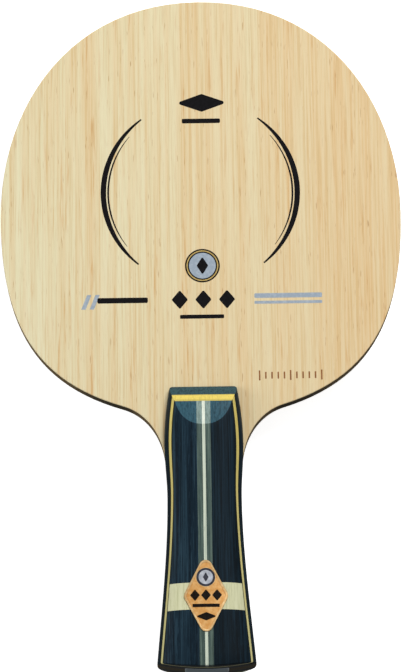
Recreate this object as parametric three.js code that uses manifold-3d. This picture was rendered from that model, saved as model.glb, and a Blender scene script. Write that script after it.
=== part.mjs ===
// A bare table tennis blade with a flared handle, as it is before its rubber sheets go on. Seven
// plies are glued into one flat panel, and a laminated scale is glued to each side of its tongue to
// make the handle. Millimetres. The blade lies on its rear scale with its front face up along +Z,
// and +Y runs from the butt of the handle to the tip of the head. Inside the group, lengths are
// measured from the butt and heights from the panel's middle plane. The group puts the origin under
// the middle of the whole, on the surface that the blade lies on.
import * as THREE from 'three';
import { mergeVertices } from 'three/addons/utils/BufferGeometryUtils.js';
import Module from 'manifold-3d';

// ---- driving dimensions -------------------------------------------------------------------------
// the panel
const totalLength = 257;
const headWidth = 150;
const widestAt = 172.4; // from the butt to the head's widest place
const tipFullness = 47.6; // how far the tip's curve runs flat, and its side's curve runs straight
const sideFullness = 45.4;
const lowerFullness = 43;
const shoulder = { x: 29.6, y: 98.6, angle: 17, reach: 32.5 }; // where the head runs into the neck
const neck = { endsAt: 75, shoulderPull: 9.9, sidePull: 10.9 }; // the curve from shoulder to grip
const plyThickness = { face: 0.65, fibre: 0.25, inner: 0.6, core: 2.8 };

// the grip, seen from the front: its width is given at four places
const handleLength = 105.5;
const buttWidth = 36.4;
const waist = { width: 27.3, at: 64 };
const swell = { width: 29.1, at: 84 };
const topWidth = 24.8;
const buttTaper = 0.09; // how fast each side draws in above the butt
const topTaper = 0.18;
const buttSag = 2; // the butt is domed from side to side
const buttCorner = 1.3;
const topCorner = 1.4;

// the grip, seen from the end: each scale's crown over the panel's face, and its slope at the top
const crownAtButt = 9.1;
const crownAtTop = 7.3;
const crownPower = 2.5; // the section is a superellipse: 2 is an ellipse, and more is squarer
const ramp = { edge: 1.2, kneeRun: 6.7, kneeHeight: 5.5, steepness: 1, slope: 0.23 };

// the layers and inlays of a scale
const baseThickness = 4.3;
const accentThickness = 1.15;
const stripeWidth = 5.1; // the two grey stripes and the pale line between them
const lineWidth = 1.1;
const band = { at: 20.6, width: 9.9 };

// the badge on the front scale, and the label in the butt
const badge = { width: 15.8, length: 26.2, at: 25.6, tipRadius: 2.4, inset: 1.2, proud: 0.3 };
const label = { width: 16, height: 9, corner: 1, inset: 0.6 };
const glueGap = 0.1; // round the badge and the label, inside their pockets

// how finely curves are divided
const headSteps = 18;
const neckSteps = 7;
const flareSteps = 12;
const swellSteps = 4;
const endSteps = 6;
const cornerSteps = 4;
const crownSteps = 20;

// ---- solids -------------------------------------------------------------------------------------
const wasm = await Module();
wasm.setup();

function toSolid(geometry) {
  const bare = geometry.clone();
  bare.deleteAttribute('normal');
  bare.deleteAttribute('uv');
  const merged = mergeVertices(bare, 1e-4);
  return new wasm.Manifold(new wasm.Mesh({
    numProp: 3,
    vertProperties: merged.attributes.position.array,
    triVerts: Uint32Array.from(merged.index.array),
  }));
}

function toGeometry(solid) {
  const mesh = solid.getMesh();
  const geometry = new THREE.BufferGeometry();
  geometry.setAttribute('position', new THREE.BufferAttribute(mesh.vertProperties, 3));
  geometry.setIndex(new THREE.BufferAttribute(mesh.triVerts, 1));
  geometry.computeVertexNormals();
  return geometry;
}

// A box between two corners, as a solid to saw pieces out with.
function block(low, high) {
  const size = high.map((top, i) => top - low[i]);
  const middle = high.map((top, i) => (top + low[i]) / 2);
  return toSolid(new THREE.BoxGeometry(...size).translate(...middle));
}

// Adds the mirror image of the right half of an outline, which runs from the axis back to the axis.
function bothHalves(right) {
  const left = right.slice(1, -1).reverse().map((p) => new THREE.Vector2(-p.x, p.y));
  return new THREE.Shape([...right, ...left]);
}

// An outline drawn as the front view shows it, as a sheet from one height to another.
function sheet(outline, fromZ, toZ) {
  const geometry = new THREE.ExtrudeGeometry(outline, { depth: toZ - fromZ, bevelEnabled: false });
  return geometry.translate(0, 0, fromZ);
}

// ---- the outline --------------------------------------------------------------------------------
const point = (x, y) => new THREE.Vector2(x, y);

// One side of the grip between two places, with the slope that it has at each.
function sideCurve(from, to, slopeFrom, slopeTo) {
  const third = (to.y - from.y) / 3;
  return new THREE.CubicBezierCurve(
    from,
    point(from.x + slopeFrom * third, from.y + third),
    point(to.x - slopeTo * third, to.y - third),
    to,
  );
}

const buttPoint = point(buttWidth / 2, 0);
const waistPoint = point(waist.width / 2, waist.at);
const swellPoint = point(swell.width / 2, swell.at);
const topPoint = point(topWidth / 2, handleLength);
const flareCurve = sideCurve(buttPoint, waistPoint, -buttTaper, 0);
const swellCurve = sideCurve(waistPoint, swellPoint, 0, 0);
const topCurve = sideCurve(swellPoint, topPoint, 0, -topTaper);

// Half the grip's width at a distance from the butt. Each curve runs evenly along the grip.
function halfWidth(y) {
  if (y < waist.at) return flareCurve.getPoint(y / waist.at).x;
  if (y < swell.at) return swellCurve.getPoint((y - waist.at) / (swell.at - waist.at)).x;
  return topCurve.getPoint((y - swell.at) / (handleLength - swell.at)).x;
}

function evenly(from, to, steps) {
  return Array.from({ length: steps + 1 }, (_, i) => from + ((to - from) * i) / steps);
}

const sidePoint = (y) => point(halfWidth(y), y);

// The butt from the axis to the straight side: a wide arc, then a small round corner.
const domeRadius = (buttWidth ** 2 / 4 + buttSag ** 2) / (2 * buttSag);
const domeRise = (x) => domeRadius - Math.sqrt(domeRadius ** 2 - x ** 2);
const domeEdge = buttWidth / 2 - buttCorner;
const sideStart = sidePoint(buttSag + buttCorner);
const dome = evenly(0, domeEdge, endSteps).map((x) => point(x, domeRise(x)));
const corner = new THREE.QuadraticBezierCurve(
  dome.at(-1),
  point(halfWidth(buttSag), buttSag),
  sideStart,
).getPoints(cornerSteps);
const buttEnd = [...dome, ...corner.slice(1)];

// The places at which both the panel's tongue and the scales' sides have a corner.
const gripPlaces = [
  ...evenly(sideStart.y, waist.at, flareSteps),
  ...evenly(waist.at, neck.endsAt, swellSteps).slice(1),
];

// The neck, the lower head and the upper head, as three curves from the grip to the tip.
const shoulderPoint = point(shoulder.x, shoulder.y);
const shoulderAngle = THREE.MathUtils.degToRad(shoulder.angle);
const along = (distance) => point(
  shoulder.x + distance * Math.cos(shoulderAngle),
  shoulder.y + distance * Math.sin(shoulderAngle),
);
const neckStart = sidePoint(neck.endsAt);
const widest = point(headWidth / 2, widestAt);
const neckCurve = new THREE.CubicBezierCurve(
  neckStart,
  point(neckStart.x, neckStart.y + neck.sidePull),
  along(-neck.shoulderPull),
  shoulderPoint,
);
const lowerCurve = new THREE.CubicBezierCurve(
  shoulderPoint,
  along(shoulder.reach),
  point(widest.x, widest.y - lowerFullness),
  widest,
);
const upperCurve = new THREE.CubicBezierCurve(
  widest,
  point(widest.x, widest.y + sideFullness),
  point(tipFullness, totalLength),
  point(0, totalLength),
);
const panelOutline = bothHalves([
  ...buttEnd,
  ...gripPlaces.slice(1).map(sidePoint),
  ...neckCurve.getPoints(neckSteps).slice(1),
  ...lowerCurve.getPoints(headSteps).slice(1),
  ...upperCurve.getPoints(headSteps).slice(1),
]);

// ---- the label in the butt ----------------------------------------------------------------------
// A rounded rectangle, let into a flat-bottomed pocket that crosses the plies and both base layers.
function labelBlock(grow) {
  const r = label.corner + grow;
  const x = label.width / 2 - label.corner;
  const z = label.height / 2 - label.corner;
  const shape = new THREE.Shape();
  shape.absarc(x, z, r, 0, Math.PI / 2);
  shape.absarc(-x, z, r, Math.PI / 2, Math.PI);
  shape.absarc(-x, -z, r, Math.PI, Math.PI * 1.5);
  shape.absarc(x, -z, r, Math.PI * 1.5, Math.PI * 2);
  const outside = 2;
  const options = { depth: outside + label.inset, bevelEnabled: false, curveSegments: 2 };
  return toSolid(new THREE.ExtrudeGeometry(shape, options)
    .translate(0, 0, -outside)
    .rotateX(-Math.PI / 2));
}

const labelPocket = labelBlock(glueGap);

// ---- the panel's plies --------------------------------------------------------------------------
const halfPanel = plyThickness.face + plyThickness.fibre + plyThickness.inner + plyThickness.core / 2;
const plies = [
  ['rear_face_veneer', plyThickness.face],
  ['rear_fibre_ply', plyThickness.fibre],
  ['rear_inner_veneer', plyThickness.inner],
  ['core_ply', plyThickness.core],
  ['front_inner_veneer', plyThickness.inner],
  ['front_fibre_ply', plyThickness.fibre],
  ['front_face_veneer', plyThickness.face],
];

// ---- the scales' outer form ---------------------------------------------------------------------
const crownHeight = (y) => THREE.MathUtils.lerp(crownAtButt, crownAtTop, y / handleLength);

// The front scale before it is sawn: rings of points from edge to edge over the crown, one ring at
// each place, closed along the panel's face. It runs past both ends, which are trimmed afterwards.
function scaleBlank() {
  const overrun = 1;
  const places = [
    -overrun,
    ...gripPlaces,
    ...evenly(neck.endsAt, swell.at, 3).slice(1),
    ...evenly(swell.at, handleLength, 8).slice(1),
    handleLength + overrun,
  ];
  const positions = [];
  const faces = [];
  const round = 2 / crownPower;
  for (const y of places) {
    for (let j = 0; j <= crownSteps; j += 1) {
      const angle = (Math.PI * j) / crownSteps;
      const across = Math.sign(Math.cos(angle)) * Math.abs(Math.cos(angle)) ** round;
      const over = j % crownSteps ? Math.sin(angle) ** round : 0;
      positions.push(halfWidth(y) * across, y, halfPanel + crownHeight(y) * over);
    }
  }
  const ringSize = crownSteps + 1;
  const lastRing = (places.length - 1) * ringSize;
  for (let ring = 0; ring < lastRing; ring += ringSize) {
    for (let j = 0; j < ringSize; j += 1) {
      const a = ring + j;
      const b = ring + ((j + 1) % ringSize);
      faces.push(a, a + ringSize, b, b, a + ringSize, b + ringSize);
    }
  }
  for (let j = 1; j < crownSteps; j += 1) {
    faces.push(0, j, j + 1, lastRing, lastRing + j + 1, lastRing + j);
  }
  const geometry = new THREE.BufferGeometry();
  geometry.setAttribute('position', new THREE.Float32BufferAttribute(positions, 3));
  geometry.setIndex(faces);
  return toSolid(geometry);
}

// Trims the front view: the domed butt with its corners, and the straight top with its corners.
function planTrim() {
  const clear = buttWidth;
  const cornerStart = sidePoint(handleLength - topCorner);
  const topEnd = new THREE.QuadraticBezierCurve(
    cornerStart,
    topPoint,
    point(topPoint.x - topCorner, handleLength),
  ).getPoints(cornerSteps);
  const outline = bothHalves([
    ...buttEnd,
    point(clear, sideStart.y),
    point(clear, cornerStart.y),
    ...topEnd,
    point(0, handleLength),
  ]);
  return toSolid(sheet(outline, -clear, clear));
}

// Trims the side view: a short upright edge at the top, a rounded knee, then a straight slope that
// runs out over the crown. Drawn as length along the handle and height over the panel's face.
function slopeTrim() {
  const sunk = 1;
  const runOut = 40;
  const edgePoint = point(handleLength, ramp.edge);
  const knee = point(handleLength - ramp.kneeRun, ramp.kneeHeight);
  const bendRun = (ramp.kneeHeight - ramp.slope * ramp.kneeRun - ramp.edge)
    / (ramp.steepness - ramp.slope);
  const bend = point(handleLength - bendRun, ramp.edge + ramp.steepness * bendRun);
  const end = point(knee.x - runOut, knee.y + ramp.slope * runOut);
  const outline = new THREE.Shape([
    point(-runOut, -sunk),
    point(handleLength + runOut, -sunk),
    point(handleLength + runOut, ramp.edge),
    ...new THREE.QuadraticBezierCurve(edgePoint, bend, knee).getPoints(6),
    end,
    point(-runOut, end.y),
  ]);
  const geometry = new THREE.ExtrudeGeometry(outline, { depth: 2 * buttWidth, bevelEnabled: false });
  const turn = new THREE.Matrix4().makeBasis(
    new THREE.Vector3(0, 1, 0),
    new THREE.Vector3(0, 0, 1),
    new THREE.Vector3(1, 0, 0),
  );
  return toSolid(geometry.applyMatrix4(turn).translate(-buttWidth, 0, halfPanel));
}

const scaleForm = scaleBlank().intersect(planTrim()).intersect(slopeTrim());

// Saws one piece out of a scale: from one x to another, from one y to another, and between two
// heights over the panel's face.
const far = 500;
function saw(form, [left, right], [start, end], [under, over]) {
  return form.intersect(block([left, start, halfPanel + under], [right, end, halfPanel + over]));
}

// ---- the badge ----------------------------------------------------------------------------------
// A diamond with round tips, as a solid that runs right through the front scale's crown.
function badgeBlock(grow) {
  const r = badge.tipRadius;
  const sideAt = badge.width / 2 - r;
  const tipAt = badge.length / 2 - r;
  const lean = Math.atan2(sideAt, tipAt);
  const shape = new THREE.Shape();
  const round = (x, y, middle, half) => shape.absarc(x, y, r + grow, middle - half, middle + half);
  round(sideAt, 0, 0, lean);
  round(0, tipAt, Math.PI / 2, Math.PI / 2 - lean);
  round(-sideAt, 0, Math.PI, lean);
  round(0, -tipAt, Math.PI * 1.5, Math.PI / 2 - lean);
  const floor = crownHeight(badge.at) - badge.inset;
  const options = { depth: far, bevelEnabled: false, curveSegments: 3 };
  return toSolid(new THREE.ExtrudeGeometry(shape, options)
    .translate(0, badge.at, halfPanel + floor));
}

// ---- materials ----------------------------------------------------------------------------------
const finish = (color, roughness, metalness = 0) => () => (
  new THREE.MeshStandardMaterial({ color, roughness, metalness })
);
const paleWood = finish('#e3cda4', 0.55);
const coreWood = finish('#d8c096', 0.7);
const fibre = finish('#3d3a30', 0.6);
const blueWood = finish('#1e2e39', 0.4);
const goldWood = finish('#d9c36a', 0.45);
const greyWood = finish('#58695f', 0.45);
const whiteWood = finish('#d2decd', 0.45);
const creamWood = finish('#d4d5af', 0.45);
const copper = finish('#c89655', 0.3, 0.8);
const slateFoil = finish('#55646c', 0.4, 0.2);

const plyMaterials = [paleWood, fibre, coreWood, coreWood, coreWood, fibre, paleWood];

// ---- assembly -----------------------------------------------------------------------------------
const blade = new THREE.Group();

function add(name, geometry, material) {
  const mesh = new THREE.Mesh(geometry, material());
  mesh.name = name;
  blade.add(mesh);
}

let plyZ = -halfPanel;
plies.forEach(([name, thickness], i) => {
  const ply = toSolid(sheet(panelOutline, plyZ, plyZ + thickness));
  add(name, toGeometry(ply.subtract(labelPocket)), plyMaterials[i]);
  plyZ += thickness;
});

const accentTop = baseThickness + accentThickness;
const topLayer = [accentTop, far];
const whole = [-far, far];
const halfLine = lineWidth / 2;
const halfStripe = stripeWidth / 2;
const strips = [
  ['panel', 'left', [-far, -halfStripe], blueWood],
  ['stripe', 'left', [-halfStripe, -halfLine], greyWood],
  ['centre_line', '', [-halfLine, halfLine], whiteWood],
  ['stripe', 'right', [halfLine, halfStripe], greyWood],
  ['panel', 'right', [halfStripe, far], blueWood],
];
const bandEnd = band.at + band.width;
const lengths = [['lower', [-far, band.at]], ['upper', [bandEnd, far]]];

// Both scales are sawn from the same form. The rear one is turned over to face down.
const sides = [['front', badgeBlock(glueGap), 0], ['rear', null, Math.PI]];
for (const [side, pocket, turn] of sides) {
  const addPiece = (name, solid, material) => {
    add(`${side}_${name}`, toGeometry(solid).rotateY(turn), material);
  };
  const base = saw(scaleForm, whole, whole, [0, baseThickness]).subtract(labelPocket);
  addPiece('scale_base', base, blueWood);
  addPiece('scale_accent', saw(scaleForm, whole, whole, [baseThickness, accentTop]), goldWood);
  const form = pocket ? scaleForm.subtract(pocket) : scaleForm;
  addPiece('cross_band', saw(form, whole, [band.at, bandEnd], topLayer), creamWood);
  for (const [end, reach] of lengths) {
    for (const [name, hand, across, material] of strips) {
      const fullName = [name, end, hand].filter(Boolean).join('_');
      addPiece(fullName, saw(form, across, reach, topLayer), material);
    }
  }
}

// The badge is the crown itself, raised a little, inside its pocket.
const raised = scaleForm.translate([0, 0, badge.proud]);
add('handle_badge', toGeometry(raised.intersect(badgeBlock(0))), copper);

// The label fills its pocket up to the dome of the butt.
add('butt_label', toGeometry(labelBlock(0).intersect(planTrim())), slateFoil);

blade.position.set(0, -totalLength / 2, halfPanel + crownAtButt);

export default blade;
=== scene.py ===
import math

import bmesh
import bpy
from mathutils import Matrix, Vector


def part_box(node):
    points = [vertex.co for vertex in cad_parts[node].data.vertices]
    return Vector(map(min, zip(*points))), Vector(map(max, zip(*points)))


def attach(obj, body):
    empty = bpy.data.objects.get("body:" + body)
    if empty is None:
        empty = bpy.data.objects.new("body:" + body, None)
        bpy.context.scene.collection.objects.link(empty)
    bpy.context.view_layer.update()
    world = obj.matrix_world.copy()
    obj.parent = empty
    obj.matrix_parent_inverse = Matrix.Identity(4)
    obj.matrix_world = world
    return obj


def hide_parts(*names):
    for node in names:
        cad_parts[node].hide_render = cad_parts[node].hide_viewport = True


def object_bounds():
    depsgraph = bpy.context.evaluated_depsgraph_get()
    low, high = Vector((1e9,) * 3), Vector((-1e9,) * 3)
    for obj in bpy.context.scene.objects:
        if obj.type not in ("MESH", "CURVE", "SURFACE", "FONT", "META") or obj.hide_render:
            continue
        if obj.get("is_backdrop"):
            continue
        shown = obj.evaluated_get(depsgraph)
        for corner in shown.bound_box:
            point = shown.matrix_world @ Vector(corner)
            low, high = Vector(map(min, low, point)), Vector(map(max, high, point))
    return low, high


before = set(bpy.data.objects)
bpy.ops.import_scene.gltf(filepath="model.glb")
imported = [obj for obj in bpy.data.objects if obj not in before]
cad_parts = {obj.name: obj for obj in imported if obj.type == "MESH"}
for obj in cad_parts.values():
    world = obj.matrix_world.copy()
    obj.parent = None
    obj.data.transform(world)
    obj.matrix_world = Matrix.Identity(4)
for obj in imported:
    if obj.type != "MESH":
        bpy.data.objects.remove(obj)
cad_low, cad_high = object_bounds()
mm = 0.001
butt = cad_low.y
tip = cad_high.y

# ---- camera, floor and light --------------------------------------------------------------------
# The blade lies on a plain white floor. The camera looks down past its butt with a long lens. A
# large soft lamp stands up and to the right of the head, and a weaker one to the left. A pale sky
# fills the shadows, and shows as plain white behind.
core_low, core_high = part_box("core_ply")
panel_middle = (core_low.z + core_high.z) / 2
camera_side = -0.68 * mm
camera_roll = -0.01403
eye = Vector((camera_side, butt - 210 * mm, panel_middle + 1250 * mm))
aim = Vector((camera_side, butt + 125.9 * mm, panel_middle))
bpy.ops.object.camera_add(location=eye, rotation=(aim - eye).to_track_quat("-Z", "Y").to_euler())
camera = bpy.context.object
camera.rotation_euler.rotate_axis("Z", camera_roll)
camera.data.lens = 186.3
camera.data.sensor_width = 36
camera.data.clip_end = 50
bpy.context.scene.camera = camera
bpy.context.scene.view_settings.view_transform = "Standard"


bpy.ops.mesh.primitive_plane_add(size=40, location=(0, 0, 0))
floor = bpy.context.object
floor.name = "studio_floor"
floor_paint = bpy.data.materials.new("floor_paint")
floor_paint.use_nodes = True
paper = floor_paint.node_tree.nodes["Principled BSDF"]
paper.inputs["Base Color"].default_value = (0.8, 0.8, 0.8, 1)
paper.inputs["Roughness"].default_value = 0.9
paper.inputs["Emission Color"].default_value = (1, 1, 1, 1)
paper.inputs["Emission Strength"].default_value = 0.82
floor.data.materials.append(floor_paint)
floor.visible_diffuse = False
floor.visible_glossy = False
floor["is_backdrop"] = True


def lamp(name, place, width, power):
    """A square soft lamp that faces the middle of the blade."""
    beam = Vector((0, 0, panel_middle)) - Vector(place)
    turn = beam.to_track_quat("-Z", "Y").to_euler()
    bpy.ops.object.light_add(type="AREA", location=place, rotation=turn)
    made = bpy.context.object
    made.name = name
    made.data.size = width
    made.data.energy = power


lamp("key_lamp", (0.75, 1.25, 1.4), 0.9, 31)
lamp("fill_lamp", (-1.7, -0.1, 0.75), 1.0, 12)
sky = bpy.data.worlds.new("pale_sky")
sky.use_nodes = True
bpy.context.scene.world = sky
studio = sky.node_tree
direction = studio.nodes.new("ShaderNodeTexCoord").outputs["Generated"]
heights = studio.nodes.new("ShaderNodeSeparateXYZ")
studio.links.new(direction, heights.inputs[0])
horizon = studio.nodes.new("ShaderNodeMapRange")
for name, value in {"From Min": -0.1, "From Max": 0.1, "To Min": 0.15, "To Max": 0.36}.items():
    horizon.inputs[name].default_value = value
studio.links.new(heights.outputs["Z"], horizon.inputs["Value"])
seen = studio.nodes.new("ShaderNodeLightPath").outputs["Is Camera Ray"]
backdrop = studio.nodes.new("ShaderNodeMix")
backdrop.inputs["B"].default_value = 1
studio.links.new(seen, backdrop.inputs["Factor"])
studio.links.new(horizon.outputs["Result"], backdrop.inputs["A"])
studio.links.new(backdrop.outputs["Result"], studio.nodes["Background"].inputs["Strength"])
studio.nodes["Background"].inputs["Color"].default_value = (1, 1, 1, 1)

# ---- the panel, before it is split into plies ---------------------------------------------------
# The head and the tongue of the handle are one flat board of seven plies. They are pressed together
# with glue, cut to one outline, domed at the butt, and sanded round at the rim.


def activate(piece):
    """Makes a piece the only one selected."""
    if bpy.context.object and bpy.context.object.mode == "EDIT":
        bpy.ops.object.mode_set(mode="OBJECT")
    bpy.ops.object.select_all(action="DESELECT")
    piece.select_set(True)
    bpy.context.view_layer.objects.active = piece


def open_up(piece, kind="FACE"):
    """Opens a piece in edit mode, with all of it selected."""
    activate(piece)
    bpy.ops.object.mode_set(mode="EDIT")
    bpy.ops.mesh.select_mode(type=kind)
    bpy.ops.mesh.select_all(action="SELECT")


def pick(piece, kind, wanted):
    """Selects the faces or edges of an open piece that pass a test."""
    bpy.ops.mesh.select_mode(type=kind)
    bpy.ops.mesh.select_all(action="DESELECT")
    mesh = bmesh.from_edit_mesh(piece.data)
    for element in mesh.edges if kind == "EDGE" else mesh.verts if kind == "VERT" else mesh.faces:
        if wanted(element):
            element.select_set(True)
    mesh.select_flush_mode()
    bmesh.update_edit_mesh(piece.data)


def close_up(piece):
    """Closes a piece with its faces pointing out, smooth except at its corners."""
    bpy.ops.mesh.select_all(action="SELECT")
    bpy.ops.mesh.normals_make_consistent(inside=False)
    bpy.ops.object.mode_set(mode="OBJECT")
    bpy.ops.object.shade_smooth_by_angle(angle=math.radians(32))


def settle(piece):
    """Moves an object's place into its mesh."""
    activate(piece)
    bpy.ops.object.transform_apply(location=True, rotation=True, scale=True)


def discard(*pieces):
    for piece in pieces:
        bpy.data.objects.remove(piece)


def machine(piece, operation, tool):
    """Cuts a piece with a tool, or keeps what lies inside the tool."""
    activate(piece)
    cut = piece.modifiers.new("cut", "BOOLEAN")
    cut.operation = operation
    cut.solver = "EXACT"
    cut.object = tool
    bpy.ops.object.modifier_apply(modifier=cut.name)


scale_low, scale_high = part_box("front_scale_base")
badge_low, badge_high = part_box("handle_badge")
panel_face = scale_low.z
panel_back = 2 * panel_middle - panel_face
handle_top = scale_high.y
butt_half = 18.2 * mm
waist_half, waist_at = 13.65 * mm, butt + 64 * mm
swell_half, swell_at = 14.55 * mm, butt + 84 * mm
top_half = 12.4 * mm
butt_flare, top_draw = 0.09, 0.18


def hermite(share, start, end, rise_start, rise_end):
    """A height on the cubic between two heights that leaves and arrives at two given rises."""
    a = 2 * (start - end) + rise_start + rise_end
    b = 3 * (end - start) - 2 * rise_start - rise_end
    return ((a * share + b) * share + rise_start) * share + start


def half_width(y):
    """Half the handle's width at a place along it."""
    if y < waist_at:
        run = waist_at - butt
        return hermite((y - butt) / run, butt_half, waist_half, -butt_flare * run, 0)
    if y < swell_at:
        return hermite((y - waist_at) / (swell_at - waist_at), waist_half, swell_half, 0, 0)
    run = handle_top - swell_at
    return hermite((y - swell_at) / run, swell_half, top_half, 0, -top_draw * run)


def draw(name, corners, low, high, fineness=24):
    """A block with an outline of curves: each corner is a place, and its arms towards its neighbours."""
    bpy.ops.curve.primitive_bezier_curve_add(location=(0, 0, 0))
    made = bpy.context.object
    made.name = name
    made.data.resolution_u = fineness
    spline = made.data.splines[0]
    spline.use_cyclic_u = True
    spline.bezier_points.add(len(corners) - 2)
    for knot, (place, arm_in, arm_out) in zip(spline.bezier_points, corners):
        knot.handle_left_type = knot.handle_right_type = "FREE"
        knot.co = (*place, 0)
        knot.handle_left = (place[0] + arm_in[0], place[1] + arm_in[1], 0)
        knot.handle_right = (place[0] + arm_out[0], place[1] + arm_out[1], 0)
    activate(made)
    bpy.ops.object.convert(target="MESH")
    made = bpy.context.object
    made.location.z = low
    settle(made)
    open_up(made, "VERT")
    bpy.ops.mesh.remove_doubles(threshold=1e-6)
    bpy.ops.mesh.edge_face_add()
    bpy.ops.mesh.extrude_region_move(TRANSFORM_OT_translate={"value": (0, 0, high - low)})
    close_up(made)
    return made


def mirrored(right):
    """Adds the left half of an outline whose right half starts on the middle line."""
    left = [((-p[0], p[1]), (-b[0], b[1]), (-a[0], a[1])) for p, a, b in right[1:]]
    return right + left[::-1]


straight = (0, 0)
shoulder_lean = math.radians(17)
reach = Vector((math.cos(shoulder_lean), math.sin(shoulder_lean)))
neck_at = butt + 75 * mm
third = (neck_at - waist_at) / 3
neck_lean = (half_width(neck_at) - half_width(neck_at - 0.1 * mm)) / (0.1 * mm)
flare = (waist_at - butt) / 3
spare = 2 * mm
head_half = cad_high.x
outline = mirrored([
    ((0, tip), (-47.6 * mm, 0), (47.6 * mm, 0)),
    ((head_half, butt + 172.4 * mm), (0, 45.4 * mm), (0, -43 * mm)),
    ((29.6 * mm, butt + 98.6 * mm), reach * 32.5 * mm, reach * -9.9 * mm),
    ((half_width(neck_at), neck_at), (0, 10.9 * mm), (-neck_lean * third, -third)),
    ((waist_half, waist_at), (0, third), (0, -flare)),
    ((butt_half, butt), (-butt_flare * flare, flare), straight),
    ((butt_half + butt_flare * spare, butt - spare), straight, straight),
])
panel = draw("panel_blank", outline, panel_back, panel_face)

# the tool that cuts the dome of the butt
sag = 2 * mm
dome_radius = (butt_half ** 2 + sag ** 2) / (2 * sag)
bpy.ops.mesh.primitive_cube_add(
    size=1, location=(0, butt, panel_middle), scale=(60 * mm, 8 * mm, 40 * mm))
dome_tool = bpy.context.object
bpy.ops.mesh.primitive_cylinder_add(
    vertices=256, radius=dome_radius, depth=60 * mm, location=(0, butt + dome_radius, panel_middle))
dome_wheel = bpy.context.object
settle(dome_tool)
settle(dome_wheel)
machine(dome_tool, "DIFFERENCE", dome_wheel)
discard(dome_wheel)
machine(panel, "DIFFERENCE", dome_tool)

rim = 0.5 * mm


def is_butt_corner(edge):
    top, bottom = (v.co for v in edge.verts)
    upright = abs(top.z - bottom.z) > 5 * mm
    return upright and top.y < butt + 3 * mm and abs(top.x) > butt_half - 1 * mm


def is_head_rim(edge):
    middle = (edge.verts[0].co + edge.verts[1].co) / 2
    level = abs(edge.verts[0].co.z - edge.verts[1].co.z) < 1e-6
    return level and edge.calc_face_angle(0) > 1 and middle.y > neck_at + 2 * mm


open_up(panel)
pick(panel, "EDGE", is_butt_corner)
bpy.ops.mesh.bevel(offset=rim, segments=4)
pick(panel, "EDGE", is_head_rim)
bpy.ops.mesh.bevel(offset=0.3 * mm, segments=3)
close_up(panel)

# ---- the scale form, before it is split into layers ----------------------------------------------
# A scale is the wooden half of the grip that is glued on each side of the tongue. It is turned to a
# flared, crowned shape, cut straight at the top with a slope for the thumb, and softened at its rim.
crown_at_butt = panel_back - cad_low.z
crown_at_top = 7.3 * mm
bpy.ops.mesh.primitive_plane_add(size=2, location=(0, 0, 0))
form = bpy.context.object
form.name = "scale_form"
open_up(form)
bpy.ops.transform.resize(value=(1, 0.5, 1), center_override=(0, 1, 0))
pick(form, "VERT", lambda v: v.co.y > 0.5)
bpy.ops.mesh.bevel(offset=1, segments=22, profile=0.5744, affect="VERTICES")
bpy.ops.mesh.select_all(action="SELECT")
bpy.ops.mesh.remove_doubles(threshold=1e-5)
bpy.ops.object.mode_set(mode="OBJECT")
start = butt - spare
form.rotation_euler.x = math.pi / 2
form.scale = (half_width(start), crown_at_butt, 1)
form.location = (0, start, panel_face)
settle(form)
open_up(form)
stations = [butt + 5 * mm + (handle_top - butt - 3 * mm) * i / 44 for i in range(45)]
width, height = half_width(start), crown_at_butt
last = start
for y in stations:
    along = (y - butt) / (handle_top - butt)
    next_width = half_width(y)
    next_height = crown_at_butt + (crown_at_top - crown_at_butt) * along
    bpy.ops.mesh.extrude_region_move(TRANSFORM_OT_translate={"value": (0, y - last, 0)})
    bpy.ops.transform.resize(
        value=(next_width / width, 1, next_height / height), center_override=(0, y, panel_face))
    last, width, height = y, next_width, next_height
close_up(form)
machine(form, "DIFFERENCE", dome_tool)

# the tool that cuts the slope at the top, with a softened lip
edge, knee_run, knee_height, slope = 1.2 * mm, 6.7 * mm, 5.5 * mm, 0.23
run_out = 40 * mm
soft = 0.35 * mm
bend_run = (knee_height - slope * knee_run - edge) / (1 - slope)
bend = Vector((handle_top - bend_run, edge + bend_run))
lip = Vector((handle_top, edge))
knee = Vector((handle_top - knee_run, knee_height))
lip_out = (bend - lip).normalized() * soft
slope_tool = draw("slope_tool", [
    ((lip.x + 5 * mm, -3 * mm), straight, straight),
    ((lip.x, -3 * mm), straight, straight),
    ((lip.x, edge - soft), straight, (0, soft * 0.6)),
    (lip + lip_out, lip_out * -0.6, (bend - lip) * 0.6),
    (knee, (bend - knee) * 2 / 3, straight),
    ((knee.x - run_out, knee.y + slope * run_out), straight, straight),
    ((knee.x - run_out, 30 * mm), straight, straight),
    ((lip.x + 5 * mm, 30 * mm), straight, straight),
], -30 * mm, 30 * mm, 6)
slope_tool.rotation_euler = (math.pi / 2, 0, math.pi / 2)
slope_tool.location.z = panel_face
settle(slope_tool)

# the tool that rounds the top's two corners
nick, clear = 1.4 * mm, 0.02 * mm
corner_half = half_width(handle_top - nick)
pull = Vector((top_half - corner_half, nick)) * 2 / 3
top_tool = draw("top_tool", [
    ((top_half + 9 * mm, handle_top - nick), straight, straight),
    ((corner_half, handle_top - nick), straight, pull),
    ((top_half - nick, handle_top + clear), (nick * 2 / 3, 0), straight),
    ((nick - top_half, handle_top + clear), straight, (-nick * 2 / 3, 0)),
    ((-corner_half, handle_top - nick), (-pull.x, pull.y), straight),
    ((-top_half - 9 * mm, handle_top - nick), straight, straight),
    ((-top_half - 9 * mm, handle_top + 9 * mm), straight, straight),
    ((top_half + 9 * mm, handle_top + 9 * mm), straight, straight),
], -30 * mm, 50 * mm, 5)
machine(form, "DIFFERENCE", slope_tool)
machine(form, "DIFFERENCE", top_tool)


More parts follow.
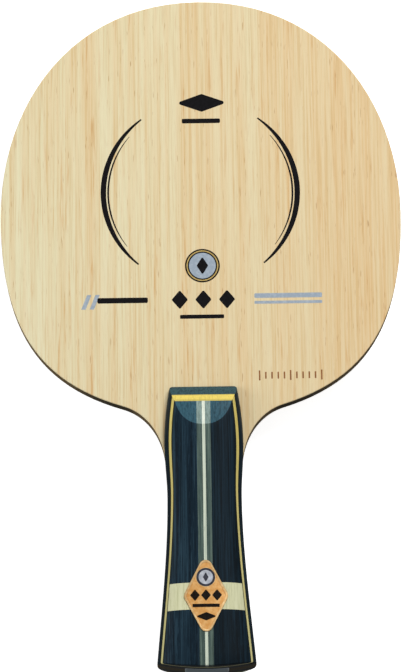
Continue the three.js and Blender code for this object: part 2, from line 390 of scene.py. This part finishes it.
def is_rim(low, high):
    """A test for the scale's outer edges between two places along it."""
    def test(edge):
        level = all(abs(v.co.z - panel_face) < 1e-6 for v in edge.verts)
        inside = all(low < v.co.y < high for v in edge.verts)
        return inside and not level and edge.calc_face_angle(0) > 0.6
    return test


sliver = 0.004 * mm
open_up(form)
bpy.ops.mesh.remove_doubles(threshold=sliver)
pick(form, "EDGE", is_rim(butt - spare, waist_at))
bpy.ops.mesh.bevel(offset=rim, segments=4, clamp_overlap=False)
pick(form, "EDGE", is_rim(waist_at, tip))
bpy.ops.mesh.bevel(offset=0.2 * mm, segments=3, clamp_overlap=False)
bpy.ops.mesh.select_all(action="SELECT")
bpy.ops.mesh.remove_doubles(threshold=sliver)
close_up(form)

# ---- the pockets for the badge and the butt label ------------------------------------------------
# The badge is let into the front scale, and the label into the butt across the panel and both
# scales. Each pocket is a little wider than what it holds.
badge_at = (badge_low.y + badge_high.y) / 2
badge_half = (badge_high.x - badge_low.x) / 2
badge_reach = (badge_high.y - badge_low.y) / 2
tip_round = 2.4 * mm


def diamond(name, half, reach, round_off, low, high, at=(0, 0), fineness=8):
    """A block with a diamond outline and round corners, over a place on the blade."""
    side, point = half - round_off, reach - round_off
    lean = math.atan2(side, point)
    knots = []
    for turn, (x, y), spread in ((0, (side, 0), lean), (90, (0, point), math.pi / 2 - lean),
                                 (180, (-side, 0), lean), (270, (0, -point), math.pi / 2 - lean)):
        middle = math.radians(turn)
        arm = round_off * 4 / 3 * math.tan(spread / 2)
        for angle in (middle - spread, middle + spread):
            place = Vector((x + round_off * math.cos(angle), y + round_off * math.sin(angle)))
            ahead = Vector((-math.sin(angle), math.cos(angle))) * arm
            first = angle < middle
            knots.append((
                (place.x + at[0], place.y + at[1]),
                straight if first else -ahead,
                ahead if first else straight))
    return draw(name, knots, low, high, fineness)


def copy_of(piece, name):
    made = piece.copy()
    made.data = piece.data.copy()
    made.name = name
    made.data.name = name
    bpy.context.collection.objects.link(made)
    return made


def on_crown(name, tool, rise):
    """A thin inlay: what lies inside a tool under the crown, once the crown is raised a little."""
    made = copy_of(form, name)
    made.location.z = rise
    settle(made)
    machine(made, "INTERSECT", tool)
    open_up(made)
    bpy.ops.mesh.remove_doubles(threshold=speck)
    close_up(made)
    return made


speck = 0.001 * mm
through = 60 * mm
pocket_gap = 0.1 * mm
badge_tool = diamond("badge_tool", badge_half + pocket_gap, badge_reach + pocket_gap,
                     tip_round + pocket_gap, badge_low.z, through, (0, badge_at))
front_form = copy_of(form, "front_form")
machine(front_form, "DIFFERENCE", badge_tool)

label_low, label_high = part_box("butt_label")
label_half = label_high.x
label_tall = (label_high.z - label_low.z) / 2
label_floor = label_high.y
bpy.ops.mesh.primitive_cube_add(
    size=2, location=(0, label_floor - 5 * mm, panel_middle),
    scale=(label_half + pocket_gap, 5 * mm, label_tall + pocket_gap))
label_tool = bpy.context.object
label_tool.name = "label_tool"
settle(label_tool)
open_up(label_tool)
pick(label_tool, "EDGE", lambda e: abs(e.verts[0].co.y - e.verts[1].co.y) > mm)
bpy.ops.mesh.bevel(offset=1.1 * mm, segments=5)
close_up(label_tool)
for blank in (panel, form, front_form):
    machine(blank, "DIFFERENCE", label_tool)
for blank in (panel, form, front_form):
    open_up(blank)
    bpy.ops.mesh.remove_doubles(threshold=sliver)
    close_up(blank)

back_form = copy_of(form, "back_form")
back_form.rotation_euler.y = math.pi
back_form.location = (0, 0, 2 * panel_middle)
settle(back_form)

# ---- the seven plies of the panel ----------------------------------------------------------------
# Light face veneers outside, then woven fibre set in resin, inner veneers, and a thick light core,
# all glued. The bare faces are sanded smooth, and the other plies show only at their edges.


def srgb(code):
    """The linear colour of a six-figure colour code."""
    shares = [int(code[i:i + 2], 16) / 255 for i in (0, 2, 4)]
    return (*[s / 12.92 if s <= 0.04045 else ((s + 0.055) / 1.055) ** 2.4 for s in shares], 1)


class Socket:
    """An output of a material's node, for sums in plain Python. Each sum adds its own node."""

    def __init__(self, output):
        self.output = output

    def node(self, kind, settings=None, inputs=None, output=0):
        """Adds a shader node: its settings first, then the values or links of its sockets."""
        tree = self.output.id_data
        made = tree.nodes.new("ShaderNode" + kind)
        for name, value in (settings or {}).items():
            setattr(made, name, value)
        for name, value in (inputs or {}).items():
            if isinstance(value, Socket):
                tree.links.new(value.output, made.inputs[name])
            else:
                made.inputs[name].default_value = value
        return Socket(made.outputs[output])

    def math(self, operation, first, second):
        return self.node("Math", {"operation": operation}, {0: first, 1: second})

    def __add__(self, other):
        return self.math("ADD", self, other)

    def __sub__(self, other):
        return self.math("SUBTRACT", self, other)

    def __rsub__(self, other):
        return self.math("SUBTRACT", other, self)

    def __mul__(self, other):
        return self.math("MULTIPLY", self, other)

    __radd__ = __add__
    __rmul__ = __mul__

    def window(self, low, high):
        """0 below one value and 1 above the other, with a smooth step between them."""
        return self.node(
            "MapRange", {"interpolation_type": "SMOOTHSTEP"},
            {"Value": self, "From Min": low, "From Max": high})

    def mix(self, first, second):
        """One colour where this value is 0, and another where it is 1."""
        return self.node("Mix", {"data_type": "RGBA"}, {0: self, 6: first, 7: second}, 2)

    def streaks(self, across, along, shift=0.0, detail=3.0, roughness=0.55):
        """Noise drawn out along the grain, with its usual width and length in metres."""
        laid = self.node("Mapping", None, {
            "Vector": self, "Location": (shift, shift * 0.7, shift * 1.3),
            "Scale": (1 / across, 1 / along, 1 / across)})
        return laid.node(
            "TexNoise", None, {"Vector": laid, "Scale": 1.0, "Detail": detail, "Roughness": roughness})


def new_material(name):
    """A new material, and the place on the blade as a socket."""
    made = bpy.data.materials.new(name)
    made.use_nodes = True
    return made, Socket(made.node_tree.nodes.new("ShaderNodeTexCoord").outputs["Object"])


def paint(made, colour, roughness, **others):
    """Joins colours, values and sockets to a material's shader."""
    shader = made.node_tree.nodes["Principled BSDF"]
    wanted = {"Base Color": colour, "Roughness": roughness}
    wanted.update({name.replace("_", " "): value for name, value in others.items()})
    for name, value in wanted.items():
        if isinstance(value, Socket):
            made.node_tree.links.new(value.output, shader.inputs[name])
        else:
            shader.inputs[name].default_value = value
    return made


def facing(place, axis):
    """How far the surface faces along an axis, from -1 to 1."""
    normal = place.node("NewGeometry", None, None, "True Normal")
    return normal.node("SeparateXYZ", None, {0: normal}, axis)


def bump(place, height, depth, strength=1.0):
    return place.node("Bump", None, {"Strength": strength, "Distance": depth, "Height": height})


def painted_edge_shade(place):
    """How much painted shade darkens the bare edges: fully beside the grip, and not at all up the head."""
    along = place.node("SeparateXYZ", None, {0: place}, 1)
    return 1 - along.window(butt + 112 * mm, butt + 150 * mm)


def painted_butt_shade(place):
    """1 on the end of the butt, and 0 elsewhere: where painted shade darkens the butt's end."""
    return (0 - facing(place, 1)).window(0.8, 0.95)


def pale_veneer(name, shift):
    """Light face veneer with straight fine grain, warm streaks, and short brown pores."""
    made, place = new_material(name)
    x = place.node("SeparateXYZ", None, {0: place}, 0)
    wide = place.streaks(15 * mm, 900 * mm, shift, 2.0)
    band = place.streaks(2.6 * mm, 180 * mm, shift + 3, 3.0)
    fine = place.streaks(0.8 * mm, 60 * mm, shift + 5, 4.0, 0.65)
    hair = place.streaks(0.32 * mm, 12 * mm, shift + 9, 3.0, 0.6)
    warm = place.streaks(1.1 * mm, 26 * mm, shift + 14, 3.0, 0.6).window(0.56, 0.72)
    pores = place.streaks(0.4 * mm, 6.5 * mm, shift + 12, 1.5).window(0.66, 0.76)
    warmth = (band * 0.6 + wide * 0.4).window(0.38, 0.64)
    tone = warmth.mix(srgb("e5deb8"), srgb("dfc696"))
    side = (x + (wide - 0.5) * (110 * mm)).window(-60 * mm, 75 * mm)
    tone = (side * 0.62).mix(tone, srgb("e0ba84"))
    tone = (fine.window(0.4, 0.62) * 0.35).mix(tone, srgb("ebdeba"))
    tone = ((1 - fine.window(0.34, 0.5)) * 0.4).mix(tone, srgb("d3b27c"))
    tone = (warm * (0.25 + warmth * 0.5)).mix(tone, srgb("cf9f62"))
    tone = ((1 - hair.window(0.34, 0.5)) * 0.2).mix(tone, srgb("c8ab78"))
    tone = (pores * (0.2 + band.window(0.42, 0.58) * 0.5)).mix(tone, srgb("ab7a44"))
    across = facing(place, 2)
    wall = 1 - (across * across).window(0.1, 0.6)
    # Painted shade: the bare walls beside the grip are darkened to a dark brown.
    tone = (wall * 0.8).mix(tone, painted_edge_shade(place).mix(srgb("b08f5c"), srgb("463718")))
    # Painted shade: the butt's end is darkened to near black.
    tone = (painted_butt_shade(place) * 0.8).mix(tone, srgb("2a2a22"))
    relief = fine * 0.6 + hair * 0.4 - pores * 0.8
    return paint(made, tone, 0.52 + hair * 0.14 + wall * 0.15, Normal=bump(place, relief, 0.035 * mm, 0.7),
                 Specular_IOR_Level=0.2)


def ply_edge(name, light, dark, shift):
    """A ply that only shows at its edge: sawn and sanded wood with open pores."""
    made, place = new_material(name)
    coarse = place.streaks(1.1 * mm, 16 * mm, shift, 3.0)
    pores = place.streaks(0.3 * mm, 1.6 * mm, shift + 4, 2.0, 0.6)
    layers = place.node("Mapping", None, {"Vector": place, "Scale": (90, 90, 4200)})
    lines = layers.node("TexNoise", None, {"Vector": layers, "Scale": 1.0, "Detail": 2.0})
    tone = coarse.window(0.35, 0.65).mix(srgb(light), srgb(dark))
    tone = ((1 - pores.window(0.36, 0.5)) * 0.35).mix(tone, srgb("6d5330"))
    tone = (lines.window(0.5, 0.7) * 0.35).mix(tone, srgb(dark))
    # Painted shade: the ply's edge beside the grip is darkened to a dark brown.
    tone = (painted_edge_shade(place) * 0.72).mix(tone, srgb("4a3a1e"))
    # Painted shade: the butt's end is darkened to near black.
    tone = (painted_butt_shade(place) * 0.8).mix(tone, srgb("2a2a22"))
    return paint(made, tone, 0.62 + pores * 0.2, Normal=bump(place, pores + lines * 0.5, 0.05 * mm, 0.8),
                 Specular_IOR_Level=0.15)


def woven_fibre():
    """Two dark woven sheets set in resin: a thin line of dark and straw-coloured yarn ends."""
    made, place = new_material("woven_fibre")
    yarns = place.node("TexVoronoi", None, {"Vector": place, "Scale": 1400.0, "Randomness": 0.55})
    pick_out = place.streaks(0.8 * mm, 0.8 * mm, 21, 1.0)
    tone = (pick_out.window(0.54, 0.62) * 0.35).mix(srgb("211f1a"), srgb("5a5030"))
    tone = (yarns.window(0.2, 0.7) * 0.6).mix(tone, srgb("171611"))
    return paint(made, tone, 0.38 + yarns * 0.3, Normal=bump(place, yarns, 0.03 * mm, 0.6))


face_finish = pale_veneer("pale_face_veneer", 0.0)
rear_finish = pale_veneer("pale_rear_veneer", 31.0)
inner_finish = ply_edge("inner_veneer_edge", "b08c58", "8e6c3e", 2.0)
core_finish = ply_edge("core_ply_edge", "d2b98c", "b29668", 7.0)
fibre_finish = woven_fibre()

burr = 0.015 * mm


def saw(blank, name, **reach):
    """A copy of a blank, sawn off at a low and a high place along each axis that is named.

    Points closer together than a burr are merged at each cut.
    """
    piece = copy_of(blank, name)
    open_up(piece, "EDGE")
    for axis, ends in reach.items():
        for place, side in zip(ends, (-1, 1)):
            if place is None:
                continue
            point, normal = Vector(), Vector()
            setattr(point, axis, place)
            setattr(normal, axis, side)
            bpy.ops.mesh.select_all(action="SELECT")
            bpy.ops.mesh.bisect(plane_co=point, plane_no=normal, clear_outer=True, threshold=1e-7)
            bpy.ops.mesh.remove_doubles(threshold=burr)
            bpy.ops.mesh.edge_face_add()
    close_up(piece)
    return piece


def fit(piece, finish, slot, *nodes):
    """Gives a finished piece its material, and fixes it to the blade in its node's place."""
    piece.data.materials.clear()
    piece.data.materials.append(finish)
    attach(piece, "root")
    if nodes:
        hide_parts(*nodes)


plies = [
    ("rear_face_veneer", "face_wood", rear_finish),
    ("rear_fibre_ply", "fibre", fibre_finish),
    ("rear_inner_veneer", "inner_wood", inner_finish),
    ("core_ply", "core_wood", core_finish),
    ("front_inner_veneer", "inner_wood", inner_finish),
    ("front_fibre_ply", "fibre", fibre_finish),
    ("front_face_veneer", "face_wood", face_finish),
]
for name, wood, finish in plies:
    low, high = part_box(name)
    bottom = None if name == "rear_face_veneer" else low.z
    top = None if name == "front_face_veneer" else high.z
    fit(saw(panel, name + "_sanded", z=(bottom, top)), finish, wood, name)

# ---- the layers and inlays of the two scales -----------------------------------------------------
# Dyed veneers, glued flat and then shaped: dark blue, a thin yellow layer, and a top layer of blue
# blocks with grey stripes, a pale line down the middle and a pale band across. All are lacquered.


def dyed_veneer(name, body, light, dark, end_grain, shift, contrast=1.0, glue=None):
    """Dyed and lacquered veneer: long streaks, fine lines and pores, and paler end grain at the top."""
    made, place = new_material(name)
    wide = place.streaks(1.9 * mm, 260 * mm, shift, 2.0)
    lines = place.streaks(0.55 * mm, 120 * mm, shift + 4, 3.0, 0.6)
    hair = place.streaks(0.3 * mm, 5 * mm, shift + 8, 2.0, 0.6)
    pores = place.streaks(0.26 * mm, 2.4 * mm, shift + 15, 1.0).window(0.66, 0.73)
    tone = (wide.window(0.48, 0.7) * 0.6 * contrast).mix(srgb(body), srgb(light))
    tone = (lines.window(0.52, 0.64) * 0.6 * contrast).mix(tone, srgb(light))
    tone = ((1 - lines.window(0.35, 0.5)) * 0.7 * contrast).mix(tone, srgb(dark))
    tone = (hair.window(0.55, 0.7) * 0.4 * contrast).mix(tone, srgb(light))
    tone = (pores * 0.55).mix(tone, srgb(dark))
    mottle = place.streaks(0.36 * mm, 2.6 * mm, shift + 20, 3.0, 0.65).window(0.36, 0.62)
    cut_end = facing(place, 1).window(0.12, 0.2)
    tone = (cut_end * (0.4 + lines.window(0.36, 0.62) * 0.3 + mottle * 0.25)).mix(tone, srgb(end_grain))
    # Painted shade: the butt's end is darkened to near black.
    tone = (painted_butt_shade(place) * 0.8).mix(tone, srgb("191c1b"))
    if glue:
        level = place.node("SeparateXYZ", None, {0: place}, 2)
        faded = 1 - place.node("SeparateXYZ", None, {0: place}, 1).window(butt, butt + 95 * mm)
        tone = (faded * 0.7).mix(tone, srgb("cac896"))
        below, above = glue[0] + 0.17 * mm, glue[1] - 0.17 * mm
        seam = (1 - level.window(below, below + 0.08 * mm)) + level.window(above - 0.08 * mm, above)
        tone = (seam * (1 - cut_end * 0.8)).mix(tone, srgb("26281a"))
    relief = lines * 0.5 + hair * 0.3 - pores * 0.6
    return paint(
        made, tone, 0.45 + hair * 0.12 + cut_end * 0.06, Normal=bump(place, relief, 0.018 * mm, 0.6),
        Coat_Weight=0.03, Coat_Roughness=0.25, Specular_IOR_Level=0.08)


finishes = {
    # Painted light and shade: the two blue blocks are one wood, with the left copy painted lighter and the
    # right copy painted darker.
    "navy_painted_lit": dyed_veneer("navy_veneer_painted_lit", "0e202c", "2a4250", "07121a", "3d6473", 2.0),
    "navy_painted_shade": dyed_veneer("navy_veneer_painted_shade", "09171f", "162b38", "040b11", "3a606f", 44.0),
    "navy_base": dyed_veneer("navy_base_veneer", "111e26", "20343b", "091117", "3d5a60", 60.0),
    "grey": dyed_veneer("grey_veneer", "42534f", "6a7c72", "2c3a36", "93a8a2", 80.0),
    "white": dyed_veneer("bleached_veneer", "c6d0be", "dfe6d4", "a2ae9a", "eef4e6", 90.0, 0.6),
    "cream": dyed_veneer("cream_veneer", "d2d2aa", "e0e0bc", "b8b88c", "e6e6c4", 100.0, 0.7),
}

band_low, band_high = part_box("front_cross_band")
stripe_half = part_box("front_stripe_lower_right")[1].x
line_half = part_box("front_centre_line_lower")[1].x
strips = [
    # The left blue blocks take the painted-light copy of the blue, and the right ones the painted-shade
    # copy.
    ("panel", "left", (None, -stripe_half), "blue_wood", "navy_painted_lit"),
    ("stripe", "left", (-stripe_half, -line_half), "grey_wood", "grey"),
    ("centre_line", None, (-line_half, line_half), "white_wood", "white"),
    ("stripe", "right", (line_half, stripe_half), "grey_wood", "grey"),
    ("panel", "right", (stripe_half, None), "blue_wood", "navy_painted_shade"),
]
lengths = [("lower", (None, band_low.y)), ("upper", (band_high.y, None))]


def fit_scale_piece(blank, node, slot, finish, **reach):
    """Saws a layer or an inlay out of a blank, and fixes it in its node's place."""
    fit(saw(blank, node + "_lacquered", **reach), finishes[finish], slot, node)


for side, blank in (("front", front_form), ("rear", back_form)):
    accent_low, accent_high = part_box(side + "_scale_accent")
    finishes["gold"] = dyed_veneer(
        "gold_veneer_" + side, "d4c26c", "e0d088", "a8954c", "eed566", 70.0, 0.6,
        (accent_low.z, accent_high.z))
    base, above = (None, accent_low.z), (accent_high.z, None)
    if side == "rear":
        base, above = (accent_high.z, None), (None, accent_low.z)
    fit_scale_piece(blank, side + "_scale_base", "blue_wood", "navy_base", z=base)
    fit_scale_piece(blank, side + "_scale_accent", "gold_wood", "gold", z=(accent_low.z, accent_high.z))
    fit_scale_piece(
        blank, side + "_cross_band", "cream_wood", "cream", z=above, y=(band_low.y, band_high.y))
    for end, along in lengths:
        for name, hand, across, slot, finish in strips:
            if side == "rear":
                across = tuple(None if x is None else -x for x in across[::-1])
            node = "_".join(filter(None, [side, name, end, hand]))
            fit_scale_piece(blank, node, slot, finish, z=above, x=across, y=along)

# ---- the badge ---------------------------------------------------------------------------------
# A pressed copper-coloured plate, glued into its pocket, that follows the crown: a bright rim round
# a satin field. A ring with a disc, four diamonds and a bar are let into the field as enamel.


def worn_metal(name, body, bright, shift, metallic=0.75):
    """Plated sheet metal with a fine brushed grain and slight tarnish."""
    made, place = new_material(name)
    brushed = place.streaks(2.2 * mm, 0.12 * mm, shift, 3.0)
    tarnish = place.streaks(1.6 * mm, 1.6 * mm, shift + 6, 4.0, 0.6)
    tone = tarnish.window(0.35, 0.7).mix(srgb(body), srgb(bright))
    return paint(made, tone, 0.26 + tarnish * 0.2, Metallic=metallic,
                 Normal=bump(place, brushed, 0.01 * mm, 0.5))


def enamel(name, body, fleck, shift, roughness=0.3):
    """Filled or printed colour, with the slight unevenness of a hand-wiped fill."""
    made, place = new_material(name)
    cloud = place.streaks(1.1 * mm, 1.1 * mm, shift, 3.0)
    grit = place.streaks(0.15 * mm, 0.15 * mm, shift + 5, 2.0)
    tone = (cloud.window(0.4, 0.7) * 0.6).mix(srgb(body), srgb(fleck))
    return paint(made, tone, roughness + grit * 0.2, Normal=bump(place, grit, 0.008 * mm, 0.5),
                 Specular_IOR_Level=0.1)


copper = worn_metal("copper_field", "e0a054", "efbc78", 5.0, 0.3)
bright_copper = worn_metal("bright_rim", "e6b878", "f2d09a", 15.0, 0.55)
slate = enamel("slate_enamel", "33343c", "4a4c58", 3.0)
silver = worn_metal("silver_disc", "b4b9c4", "d8dce4", 25.0, 0.5)
dark_enamel = enamel("dark_enamel", "140e0a", "241b14", 8.0)

rim_width = 0.75 * mm
proud = 0.3 * mm


def badge_block(name, inset):
    return diamond(name, badge_half - inset, badge_reach - inset, tip_round - inset * 0.6,
                   badge_low.z, through, (0, badge_at))


def is_badge_edge(edge):
    return edge.calc_face_angle(0) > 0.9 and min(v.co.z for v in edge.verts) > badge_low.z + mm


whole_tool = badge_block("whole_tool", 0)
field_tool = badge_block("field_tool", rim_width)
badge_rim = on_crown("badge_rim", whole_tool, proud)
machine(badge_rim, "DIFFERENCE", field_tool)
open_up(badge_rim)
bpy.ops.mesh.remove_doubles(threshold=speck)
pick(badge_rim, "EDGE", is_badge_edge)
bpy.ops.mesh.bevel(offset=0.12 * mm, segments=3, clamp_overlap=True)
close_up(badge_rim)
fit(badge_rim, bright_copper, "badge_metal", "handle_badge")
badge_field = on_crown("badge_field", field_tool, 0.14 * mm)
fit(badge_field, copper, "badge_metal")


def inlay(name, tool, rise, finish):
    made = on_crown(name, tool, rise)
    discard(tool)
    fit(made, finish, "badge_metal")


def wheel(name, radius, at):
    bpy.ops.mesh.primitive_cylinder_add(
        vertices=96, radius=radius, depth=20 * mm, location=(at[0], at[1], badge_low.z + 10.2 * mm))
    made = bpy.context.object
    made.name = name
    settle(made)
    return made


def slab(name, half_x, half_y, at, low, high, corner):
    """A flat block with round corners, over a place on the blade."""
    x, y, k = half_x - corner, half_y - corner, corner * 0.5523
    knots = []
    for sx, sy in ((1, -1), (1, 1), (-1, 1), (-1, -1)):
        side, end = (sx * half_x, sy * y), (sx * x, sy * half_y)
        first, second = (side, end) if sx * sy > 0 else (end, side)
        aim_first = (0, sy * k) if first is side else (sx * k, 0)
        aim_second = (0, sy * k) if second is side else (sx * k, 0)
        knots.append(((first[0] + at[0], first[1] + at[1]), straight, aim_first))
        knots.append(((second[0] + at[0], second[1] + at[1]), aim_second, straight))
    return draw(name, knots, low, high, 5)


inlay_floor = badge_low.z + 0.2 * mm
medal_at = (0, badge_at + 6.8 * mm)
inlay("badge_medal_edge", wheel("medal_edge_tool", 3.65 * mm, medal_at), 0.17 * mm, bright_copper)
inlay("badge_medal_ring", wheel("medal_ring_tool", 3.4 * mm, medal_at), 0.2 * mm, slate)
inlay("badge_medal_disc", wheel("medal_disc_tool", 2.6 * mm, medal_at), 0.23 * mm, silver)
inlay("badge_medal_heart", diamond(
    "heart_tool", 1.0 * mm, 1.6 * mm, 0.2 * mm, inlay_floor, through, medal_at), 0.25 * mm, slate)
for number, x in enumerate((-4.0, 0, 4.0), 1):
    inlay(f"badge_diamond_{number}", diamond(
        "title_tool", 1.7 * mm, 2.0 * mm, 0.25 * mm, inlay_floor, through,
        (x * mm, badge_at + 0.2 * mm)), 0.2 * mm, dark_enamel)
inlay("badge_bar", slab("bar_tool", 4.9 * mm, 0.6 * mm, (0, badge_at - 3.6 * mm),
                        inlay_floor, through, 0.2 * mm), 0.2 * mm, dark_enamel)
inlay("badge_foot_mark", diamond(
    "foot_tool", 3.3 * mm, 1.5 * mm, 0.3 * mm, inlay_floor, through,
    (0, badge_at - 7.6 * mm)), 0.2 * mm, dark_enamel)

# ---- the label in the butt -----------------------------------------------------------------------
# Thin blue-grey foil on a card, pressed into its pocket, with a fine pale border.
foil = worn_metal("slate_foil", "5d6f79", "788b95", 35.0, 0.2)
foil_edge = worn_metal("pale_foil", "98a6ac", "b6c2c6", 45.0, 0.4)


def label_block(name, inset, proud_of_dome):
    """The part of the butt's dome inside the label's outline."""
    bpy.ops.mesh.primitive_cube_add(
        size=2, location=(0, butt, panel_middle),
        scale=(label_half - inset, label_floor - butt, label_tall - inset))
    made = bpy.context.object
    made.name = name
    settle(made)
    open_up(made)
    pick(made, "EDGE", lambda e: abs(e.verts[0].co.y - e.verts[1].co.y) > 0.5 * mm)
    bpy.ops.mesh.bevel(offset=mm - inset * 0.5, segments=5)
    close_up(made)
    trimmer = copy_of(dome_tool, "trimmer")
    trimmer.location.y = -proud_of_dome
    settle(trimmer)
    machine(made, "DIFFERENCE", trimmer)
    discard(trimmer)
    open_up(made)
    close_up(made)
    return made


fit(label_block("butt_label_foil", 0, 0), foil_edge, "label_foil", "butt_label")
fit(label_block("butt_label_field", 0.45 * mm, 0.02 * mm), foil, "label_foil")

# ---- the printed marks -----------------------------------------------------------------------------
# Plain marks of thin ink, printed on the bare front face: two pairs of arcs, a ring with a disc,
# diamonds, bars and slanted strokes, and a row of ticks that look burnt in.
ink = enamel("black_ink", "08070a", "141216", 12.0, 0.55)
pale_ink = enamel("grey_ink", "9aa7b4", "b4bec8", 14.0, 0.42)
brown_ink = enamel("burnt_brown", "8a5a34", "a87850", 16.0, 0.6)
gold_ink = enamel("gold_ink", "b59a5a", "d0b878", 18.0, 0.35)
ink_low, ink_high = panel_face - 0.01 * mm, panel_face + 0.03 * mm


def mark(piece, finish):
    fit(piece, finish, "print_ink")


def disc(name, radius, width, at, low, high):
    """A flat disc, or a ring if a width is given."""
    bpy.ops.mesh.primitive_circle_add(
        vertices=96, radius=radius, fill_type="NGON", location=(at[0], at[1], low))
    made = bpy.context.object
    made.name = name
    settle(made)
    open_up(made)
    if width:
        bpy.ops.mesh.inset(thickness=width)
        bpy.ops.mesh.delete(type="FACE")
        bpy.ops.mesh.select_all(action="SELECT")
    bpy.ops.mesh.extrude_region_move(TRANSFORM_OT_translate={"value": (0, 0, high - low)})
    close_up(made)
    return made


def stroke(name, centre, radius, first, last, width, finish):
    """An arc that swells and tapers like one stroke of a soft pen."""
    bpy.ops.curve.primitive_bezier_curve_add(location=(0, 0, 0))
    made = bpy.context.object
    made.name = name
    made.data.bevel_depth = width / 2
    made.data.bevel_resolution = 2
    made.data.use_fill_caps = True
    spline = made.data.splines[0]
    steps = 8
    spline.bezier_points.add(steps - 1)
    arm = radius * 4 / 3 * math.tan(math.radians(last - first) / steps / 4)
    for step, knot in enumerate(spline.bezier_points):
        share = step / steps
        angle = math.radians(first + (last - first) * share)
        place = Vector((centre[0] + radius * math.cos(angle), centre[1] + radius * math.sin(angle), 0))
        ahead = Vector((-math.sin(angle), math.cos(angle), 0)) * arm
        knot.handle_left_type = knot.handle_right_type = "FREE"
        knot.co = place
        knot.handle_left = place - ahead
        knot.handle_right = place + ahead
        knot.radius = math.sin(math.pi * (0.05 + 0.9 * share)) ** 0.7
    activate(made)
    bpy.ops.object.convert(target="MESH")
    made = bpy.context.object
    made.scale.z = 0.05 * mm / width
    made.location.z = panel_face
    settle(made)
    open_up(made)
    bpy.ops.mesh.remove_doubles(threshold=1e-6)
    close_up(made)
    mark(made, finish)


arcs_at = (0, butt + 181 * mm)
strokes = ((127, 230, 36.4, 2.1), (140, 217, 34.6, 0.7))
for number, (first, last, radius, width) in enumerate(strokes, 1):
    stroke(f"arc_left_{number}", arcs_at, radius * mm, first, last, width * mm, ink)
    stroke(f"arc_right_{number}", arcs_at, radius * mm, 180 - last, 180 - first, width * mm, ink)

ring_at = (0.4 * mm, butt + 152.3 * mm)
mark(disc("ring_outer", 6.5 * mm, 0.55 * mm, ring_at, ink_low, ink_high), ink)
mark(disc("ring_gold", 5.95 * mm, 0.45 * mm, ring_at, ink_low, ink_high), gold_ink)
mark(disc("ring_inner", 5.5 * mm, 0.5 * mm, ring_at, ink_low, ink_high), ink)
mark(disc("ring_field", 5.0 * mm, None, ring_at, ink_low, ink_high), pale_ink)
mark(diamond("ring_heart", 2.1 * mm, 3.1 * mm, 0.4 * mm, ink_high - 0.01 * mm,
             ink_high + 0.02 * mm, ring_at), ink)

bars = (
    ("brow_bar", 0.6, 209.2, 7.2, 0.9, ink), ("title_left", -8.2, 139.2, 2.9, 3.4, ink),
    ("title_middle", 0.6, 139.2, 2.9, 3.4, ink), ("title_right", 9.4, 139.2, 2.9, 3.4, ink),
    ("under_bar", 0, 132.6, 8.2, 0.75, ink), ("left_bar", -29.5, 139.2, 9.4, 1.05, ink),
    ("right_bar_upper", 32.2, 140.4, 12.6, 0.9, pale_ink),
    ("right_bar_lower", 32.2, 137.8, 12.6, 0.55, pale_ink),
)
for name, x, y, half_x, half_y, finish in bars:
    if name.startswith("title"):
        made = diamond(name, half_x * mm, half_y * mm, 0.5 * mm, ink_low, ink_high,
                       (x * mm, butt + y * mm))
    else:
        made = slab(name, half_x * mm, half_y * mm, (x * mm, butt + y * mm), ink_low, ink_high,
                    half_y * 0.5 * mm)
    mark(made, finish)
mark(diamond("brow_mark", 8.4 * mm, 3.5 * mm, 0.7 * mm, ink_low, ink_high,
             (0.9 * mm, butt + 216.4 * mm)), ink)
for number in range(2):
    x = (-43.0 + 3.1 * number) * mm
    y = butt + 138.7 * mm
    slash = draw(f"left_slash_{number + 1}", [
        ((x - 1.9 * mm, y - 2.8 * mm), straight, straight),
        ((x - 0.3 * mm, y - 2.8 * mm), straight, straight),
        ((x + 1.9 * mm, y + 2.8 * mm), straight, straight),
        ((x + 0.3 * mm, y + 2.8 * mm), straight, straight),
    ], ink_low, ink_high, 2)
    mark(slash, pale_ink)
for number in range(11):
    tall = 1.9 if number % 5 == 0 else 1.3
    x = (21.0 + 2.3 * number) * mm
    tick = slab(f"burnt_tick_{number + 1}", 0.28 * mm, tall * mm, (x, butt + 109.7 * mm), ink_low, ink_high,
                0.15 * mm)
    mark(tick, brown_ink)

discard(panel, form, front_form, back_form, badge_tool, label_tool, dome_tool, slope_tool, top_tool,
        whole_tool, field_tool)
low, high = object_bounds()
